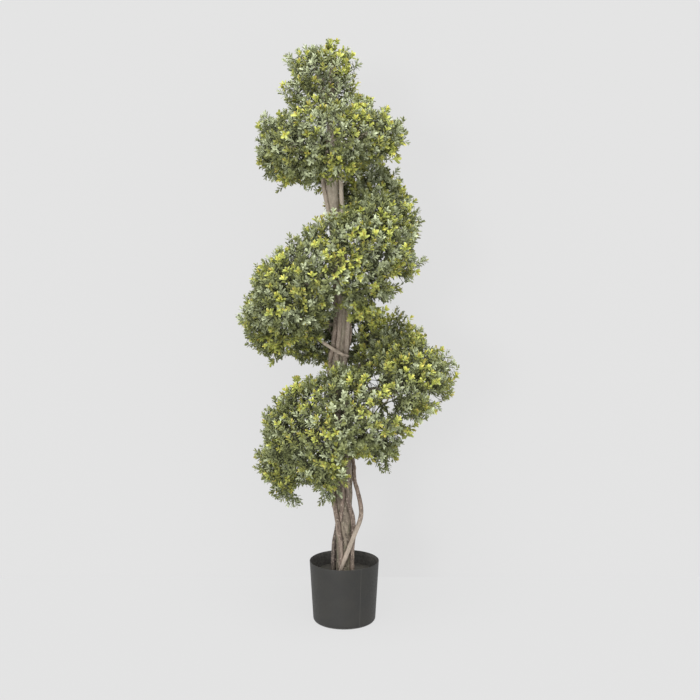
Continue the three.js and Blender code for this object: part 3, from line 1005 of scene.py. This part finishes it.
for node in MASS_NODES:
    label = node.removeprefix("foliage_")
    spray = sprays[node]
    bm = bmesh.new()
    stations = []
    if node == "foliage_crown":
        tip = trunk_line[-1]
        top = masses[node]["high"][2]
        peak = np.array([tip[0] + 0.004, tip[1], top - 0.03])
        leader = bend(tip - UP * 0.01, peak, UP, UP, LEADER_POINTS)
        radii = np.linspace(*LEADER_RADII, LEADER_POINTS)
        stations.append(grow(bm, leader, radii, ARM_STEP, 10, 0.12, 31))
        heart = middle(node)
        for k in range(CROWN_ARMS):
            turn = k * CROWN_TURN
            start = trunk_line[-1 - 4 * k] if k < 8 else tip
            x, y = math.cos(turn), math.sin(turn)
            out = np.array([x, y, 0.5])
            end = heart + np.array([x * CROWN_REACH, y * CROWN_REACH, (k - 4) * 0.02])
            arm = bend(start, end, unit(out), unit(out + UP * 0.8), 10)
            radii = np.linspace(*CROWN_ARM_RADII, 10)
            stations.append(grow(bm, arm, radii, ARM_STEP, 8, 0.12, 40 + k))
    else:
        index = BAND_NODES.index(node)
        bough = "bough_" + label[:2]
        low, high = (np.array(corner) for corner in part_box(bough))
        axis = (low + high) / 2
        axis[:2] -= trunk_at(axis[2:3])[0]
        centres, radii = spine(bough, (axis[0], axis[1], 0), 0.006, 2)
        core = trunk_at(centres[:1, 2])[0]
        root = np.array([*core, centres[0][2] - 0.006])
        heart = band_line(index, index, 1)[0]
        leave = unit(centres[-1] - centres[-3])
        onward = bend(centres[-1], heart, leave, unit(heart - centres[-1]), ARM_POINTS)
        line = np.vstack([root, centres, onward[1:]])
        radii = np.linspace(radii[:3].mean() * 1.1, ARM_RADII[0], len(line))
        stations.append(grow(bm, line, radii, BOUGH_STEP, 12, 0.13, 50 + index))
        for way in (-1, 1):
            arm = band_line(index, index + way * ARM_REACH, ARM_POINTS)
            arm[1:] += limb_random.normal(0, ARM_WANDER, (ARM_POINTS - 1, 3))
            radii = np.linspace(*ARM_RADII, ARM_POINTS)
            stations.append(grow(bm, arm, radii, ARM_STEP, 8, 0.1, 80 + index + 20 * way))
    hubs = np.vstack(stations)
    tree = nearest_of(hubs)
    outer = spray["foot"][~spray["inner"]]
    targets = outer[farthest(outer, LIMBS_PER_MASS, limb_random)]
    limbs = []
    for target in targets:
        start = np.array(tree.find(Vector(target))[0])
        end = start + (target - start) * LIMB_REACH
        leave = unit(unit(target - start) + limb_random.normal(0, 0.35, 3))
        limbs.append(bend(start, end, leave, unit(target - start), LIMB_POINTS))
    limbs = np.array(limbs)
    radii = np.tile(np.linspace(*LIMB_RADII, LIMB_POINTS), (len(limbs), 1))
    points, faces = thin_tubes(limbs, radii, 5)
    thin = array_piece("thin", points, faces, [bough_bark, twig_green], np.ones(len(faces)))
    bm.from_mesh(thin.data)
    bpy.data.objects.remove(thin)
    limbs_piece = finish_mesh("limbs_" + label, bm, [bough_bark, twig_green])
    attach(limbs_piece, "root")
    if node != "foliage_crown":
        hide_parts(bough)

    # twigs, from the nearest limb out along each spray
    hubs = np.vstack([hubs, limbs[:, 2:].reshape(-1, 3)])
    tree = nearest_of(hubs)
    lines = []
    for foot, way, inner in zip(spray["foot"], spray["way"], spray["inner"]):
        start = np.array(tree.find(Vector(foot))[0])
        reach = INNER_TWIG if inner else SPRAY_DEPTH - 0.002
        leave = unit(foot - start + limb_random.normal(0, 0.006, 3))
        curve = bend(start, foot, leave, unit(way + unit(foot - start) * 1.3), TWIG_POINTS - 2)
        lines.append(np.vstack([curve, foot + way * reach * 0.5, foot + way * reach]))
    radii = np.tile(np.linspace(*TWIG_RADII, TWIG_POINTS), (len(lines), 1))
    points, faces = thin_tubes(np.array(lines), radii, 3)
    twigs = array_piece("twigs_" + label, points, faces, [twig_green])
    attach(twigs, "root")

# One bough wraps across the front of the stems before it joins the band.
centres, radii = spine("bough_wrap", (-1, 0, 0), 0.008, 3)
bm = bmesh.new()
grow(bm, centres, radii * 1.05, BARK_STEP, 16, 0.12, 90)
wrap_bark = bark_material(
    "wrap_bark", (0.42, 0.34, 0.27), (0.12, 0.09, 0.07), (0.3, 0.27, 0.2), 0.3, 0.5
)
wrap = finish_mesh("bough_wrap_bark", bm, [wrap_bark])
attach(wrap, "root")
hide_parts("bough_wrap")

# ------------------------------------------------------------------------------------------
# Leaves. Printed fabric leaves on wired sprigs: opposite pairs that turn a quarter from one to
# the next, and a splayed rosette at the tip. Each tint is dyed plain, and goes by spray.

TINTS = {
    "deep": (0.162, 0.181, 0.080),
    "deep_olive": (0.190, 0.198, 0.060),
    "deep_sage": (0.172, 0.194, 0.112),
    "mid": (0.208, 0.231, 0.098),
    "mid_sage": (0.225, 0.254, 0.148),
    "olive": (0.272, 0.283, 0.072),
    "sage": (0.322, 0.358, 0.216),
    # The palest sage tint is partly a pale dye and partly painted highlight, the leaves' pale
    # sheen.
    "pale_sage": (0.51, 0.56, 0.38),
    "fresh": (0.348, 0.388, 0.095),
    "lime": (0.47, 0.505, 0.125),
    "yellow": (0.59, 0.55, 0.120),
    "ochre": (0.41, 0.35, 0.082),
    # The inner tints are painted paler than the deep outer ones: painted light that lifts the
    # shade inside the foliage.
    "inner": (0.190, 0.210, 0.112),
    "inner_mid": (0.230, 0.255, 0.132),
}
TINT_NAMES = list(TINTS)
BATCH = (1.03, 1.02, 0.98)  # the whole dye batch is this much warmer than its tints
leaf_materials = []
for tint, colour in TINTS.items():
    dyed = [round(part * share, 3) for part, share in zip(colour, BATCH)]
    leaf_materials.append(plain_material("leaf_" + tint, dyed, 0.5, 0.35))
PAIRS = 7
# The tints of the pairs from a spray's foot to its tip, for each kind of spray.
KINDS = {
    "deep": "deep deep deep deep mid mid mid",
    "mid": "deep deep mid mid mid mid olive",
    "sage": "deep_sage deep_sage mid_sage sage sage sage sage",
    # The pale kind ends in the palest sage tint, partly painted highlight.
    "pale": "deep_sage mid_sage sage sage sage pale_sage pale_sage",
    "olive": "deep_olive deep_olive olive olive olive fresh ochre",
    "fresh": "deep_olive deep_olive olive fresh fresh lime ochre",
    "bright": "deep_olive olive fresh fresh lime lime yellow",
    "inner": "inner inner inner inner_mid inner_mid inner_mid deep",
}
KIND_NAMES = list(KINDS)
KIND_TINTS = np.array([[TINT_NAMES.index(t) for t in k.split()] for k in KINDS.values()])
# How the pairs stand on a plain sprig and on one that ends in a rosette: the share of the
# spray's length, the angle off its stem, the leaf's length against the usual and its width
# against its length.
SPRIG = np.array(
    [
        (0.12, 0.30, 0.46, 0.62, 0.76, 0.89, 1.0),
        (0.86, 0.82, 0.78, 0.72, 0.62, 0.48, 0.25),
        (0.85, 0.95, 1.00, 1.00, 0.95, 0.85, 0.70),
        (0.40, 0.40, 0.40, 0.40, 0.40, 0.38, 0.36),
    ]
)
ROSETTE = np.array(
    [
        (0.10, 0.33, 0.56, 0.78, 0.87, 0.94, 1.0),
        (0.90, 0.88, 0.86, 0.86, 0.72, 0.52, 0.28),
        (0.80, 0.90, 0.98, 1.04, 1.04, 0.96, 0.76),
        (0.40, 0.42, 0.44, 0.46, 0.46, 0.44, 0.42),
    ]
)

LEAF_LENGTH = 0.0135
LEAF_FOLD = 0.26
LEAF_CURL = 0.18
LEAF_OFF = 0.0006  # from the twig's middle
INNER_DEPTH = 0.026  # an inner spray's length
INNER_LEAF = 1.4  # its leaves' length against the usual
# How far leaves stray in their turn round the twig, in their lean off it and about their own line.
TURN_SPREAD = 0.22
LEAN_SPREAD = 0.18
TWIST_SPREAD = 0.3


def leaf_shape():
    """A round-ended leaf of eight faces along X, of unit length and width, its upper side up."""
    left = [(x, y, y * LEAF_FOLD) for x, y in ((0.24, 0.34), (0.58, 0.50), (0.88, 0.36))]
    right = [(x, -y, z) for x, y, z in reversed(left)]
    points = np.array([(0, 0, 0), *left, (1, 0, 0), *right, (0.54, 0, 0)])
    return points, np.array([(i, 8, (i + 1) % 8) for i in range(8)])


def small_leaf_shape():
    """The same leaf in four faces, for those inside."""
    points = np.array([(0, 0, 0), (0.5, 0.5, 0.14), (1, 0, 0), (0.5, -0.5, 0.14), (0.5, 0, 0)])
    return points, np.array(((0, 4, 1), (1, 4, 2), (0, 3, 4), (3, 2, 4)))


def leaves_of(feet, ways, kinds, reach, size, habit, shape, generator):
    """Points, faces and tints of every leaf of some sprays. habit is a row for each spray."""
    count = len(feet)
    roll = generator.uniform(0, math.tau, count)
    guide = np.where(abs(ways[:, 2:]) < 0.9, [[0, 0, 1.0]], [[1.0, 0, 0]])
    first = np.cross(ways, guide)
    first /= np.linalg.norm(first, axis=1)[:, None]
    second = np.cross(ways, first)
    each = (count, PAIRS, 2)
    along = np.broadcast_to((habit[:, 0] * reach[:, None])[:, :, None], each)
    turn = (
        roll[:, None, None]
        + (np.arange(PAIRS) * math.pi / 2)[None, :, None]
        + np.array([0, math.pi])[None, None]
        + generator.normal(0, TURN_SPREAD, each)
    )
    lean = habit[:, 1][:, :, None] + generator.normal(0, LEAN_SPREAD, each)
    length = (habit[:, 2] * size[:, None])[:, :, None] * generator.uniform(0.84, 1.14, each)
    radial = (
        first[:, None, None] * np.cos(turn)[..., None]
        + second[:, None, None] * np.sin(turn)[..., None]
    )
    stem = np.broadcast_to(ways[:, None, None], radial.shape)
    cos, sin = np.cos(lean)[..., None], np.sin(lean)[..., None]
    axis = stem * cos + radial * sin
    face = stem * sin - radial * cos
    side = np.cross(face, axis)
    twist = generator.normal(0, TWIST_SPREAD, each)[..., None]
    cos, sin = np.cos(twist), np.sin(twist)
    face, side = face * cos + side * sin, side * cos - face * sin
    base = feet[:, None, None] + stem * along[..., None] + radial * LEAF_OFF
    width = length * habit[:, 3][:, :, None] * generator.uniform(0.88, 1.12, each)
    curl = LEAF_CURL * generator.uniform(0.2, 1.8, each)
    shape_points, shape_faces = shape
    x = shape_points[:, 0]
    rise = shape_points[:, 2] * width.reshape(-1, 1) - (curl * length).reshape(-1, 1) * x**2
    points = (
        base.reshape(-1, 1, 3)
        + axis.reshape(-1, 1, 3) * (length.reshape(-1, 1) * x)[..., None]
        + side.reshape(-1, 1, 3) * (width.reshape(-1, 1) * shape_points[:, 1])[..., None]
        + face.reshape(-1, 1, 3) * rise[..., None]
    )
    faces = (np.arange(len(points))[:, None, None] * len(x) + shape_faces).reshape(-1, 3)
    tints = np.broadcast_to(KIND_TINTS[kinds][:, :, None], each).reshape(-1)
    return points.reshape(-1, 3), faces, np.repeat(tints, len(shape_faces))


leaf_random = np.random.default_rng(518)
# How common each kind is, in the order of KINDS: deep, mid, sage, pale, olive, fresh, bright.
edges = np.cumsum([0.12, 0.24, 0.18, 0.08, 0.12, 0.15, 0.11])
# A spray's kind goes by its rank: in the middle of the range, plus shares for the patch that it
# is in, for its place across the plant (painted light, paler to the right) and for chance.
RANK_MIDDLE = 0.46
RANK_PATCH = 0.8
RANK_LIGHT_ACROSS = 0.4
RANK_CHANCE = 0.2


def kind_of(points, generator):
    """The kind of each spray: in patches, with some of every kind among the rest, and painted
    light: paler towards the top and the right of the plant, darker low down and to the left."""
    field = [noise.noise(Vector(p * 14)) + 0.9 * noise.noise(Vector(p * 36)) for p in points]
    rank = RANK_MIDDLE + np.array(field) * RANK_PATCH + points[:, 0] * RANK_LIGHT_ACROSS
    rank += generator.normal(0, RANK_CHANCE, len(points))
    # Painted light: the rank, then the kind, shifts with height and with x, paler to the top and
    # right.
    rank -= (np.minimum(points[:, 2], 2.2 - points[:, 2]) - 0.75) * 0.13
    kinds = np.searchsorted(edges, np.clip(rank, 0, 0.9999) * edges[-1])
    above = points[:, 2] - 0.78
    shift = np.minimum(above * 1.4, above * 2.8) + points[:, 0] * 1.2
    chance = generator.random(len(points))
    kinds += (chance < shift) & (kinds < KIND_NAMES.index("pale"))
    kinds -= (chance < -shift) & (kinds > 0)
    return kinds


for node in MASS_NODES:
    label = node.removeprefix("foliage_")
    spray = sprays[node]
    outer = ~spray["inner"]
    feet, ways = spray["foot"][outer], spray["way"][outer]
    kinds = kind_of(feet, leaf_random)
    open_tip = np.isin(kinds, [KIND_NAMES.index("fresh"), KIND_NAMES.index("bright")])
    open_tip ^= leaf_random.random(len(feet)) < 0.2
    habit = np.where(open_tip[:, None, None], ROSETTE, SPRIG)
    reach = SPRAY_DEPTH * leaf_random.uniform(0.85, 1.3, len(feet))
    size = LEAF_LENGTH * leaf_random.uniform(0.86, 1.12, len(feet))
    a = leaves_of(feet, ways, kinds, reach, size, habit, leaf_shape(), leaf_random)
    feet, ways = spray["foot"][~outer], spray["way"][~outer]
    kinds = np.full(len(feet), KIND_NAMES.index("inner"))
    reach = np.full(len(feet), INNER_DEPTH)
    size = np.full(len(feet), LEAF_LENGTH * INNER_LEAF)
    habit = np.broadcast_to(SPRIG, (len(feet), 4, PAIRS))
    b = leaves_of(feet, ways, kinds, reach, size, habit, small_leaf_shape(), leaf_random)
    points = np.vstack([a[0], b[0]])
    faces = np.vstack([a[1], b[1] + len(a[0])])
    tints = np.concatenate([a[2], b[2]])
    leaves = array_piece("leaves_" + label, points, faces, leaf_materials, tints)
    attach(leaves, "root")
    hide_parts(node)

# ------------------------------------------------------------------------------------------
# Studio. A pale floor and a wall close behind, under soft light from above and the left.


def stage_material(name, shade, glow, see_through):
    material = plain_material(name, (shade,) * 3, 1.0, 0.0)
    shader = material.node_tree.nodes["Principled BSDF"]
    shader.inputs["Emission Color"].default_value = (1, 1, 1, 1)
    shader.inputs["Emission Strength"].default_value = glow
    if see_through:  # from behind, so that the back of the plant can be looked at
        tree = material.node_tree
        behind = tree.nodes.new("ShaderNodeNewGeometry")
        clear = tree.nodes.new("ShaderNodeBsdfTransparent")
        mix = tree.nodes.new("ShaderNodeMixShader")
        tree.links.new(behind.outputs["Backfacing"], mix.inputs["Fac"])
        tree.links.new(shader.outputs["BSDF"], mix.inputs[1])
        tree.links.new(clear.outputs["BSDF"], mix.inputs[2])
        tree.links.new(mix.outputs["Shader"], tree.nodes["Material Output"].inputs["Surface"])
    return material


def sheet(name, size, material):
    bm = bmesh.new()
    bmesh.ops.create_grid(bm, x_segments=1, y_segments=1, size=size / 2)
    mesh = bpy.data.meshes.new(name)
    bm.to_mesh(mesh)
    bm.free()
    mesh.materials.append(material)
    piece = in_scene(name, mesh)
    piece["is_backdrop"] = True
    return piece


sheet("studio_floor", 14, stage_material("floor_paint", 0.04, 0.697, False))
wall = sheet("studio_wall", 14, stage_material("wall_paint", 0.08, 0.645, True))
wall.rotation_euler = (math.radians(90), 0, 0)
wall.location = (0, 0.36, 6.9)

world = bpy.data.worlds.new("studio")
world.use_nodes = True
bpy.context.scene.world = world
background = world.node_tree.nodes["Background"]
background.inputs["Color"].default_value = (1, 1, 1, 1)
background.inputs["Strength"].default_value = 1.12


def lamp(name, azimuth, elevation, softness, strength):
    """A far soft light: azimuth 0 is in front and negative to the left, in degrees."""
    data = bpy.data.lights.new(name, "SUN")
    data.energy = strength
    data.angle = math.radians(softness)
    a, e = math.radians(azimuth), math.radians(elevation)
    towards = Vector((math.sin(a) * math.cos(e), -math.cos(a) * math.cos(e), math.sin(e)))
    in_scene(name, data).rotation_euler = towards.to_track_quat("Z", "Y").to_euler()


lamp("top_light", -8, 66, 40, 3.12)
lamp("side_light", -24, 6, 14, 0.95)

CAMERA_DIP = 8.763  # degrees below level
camera_data = bpy.data.cameras.new("camera")
camera_data.lens = 70.19
camera_data.sensor_width = 36
camera_data.clip_end = 100
camera = in_scene("camera", camera_data)
camera.location = CAMERA_PLACE
camera.rotation_euler = (math.radians(90 - CAMERA_DIP), 0, 0)
bpy.context.scene.camera = camera
bpy.context.scene.view_settings.view_transform = "Standard"

low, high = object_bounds()
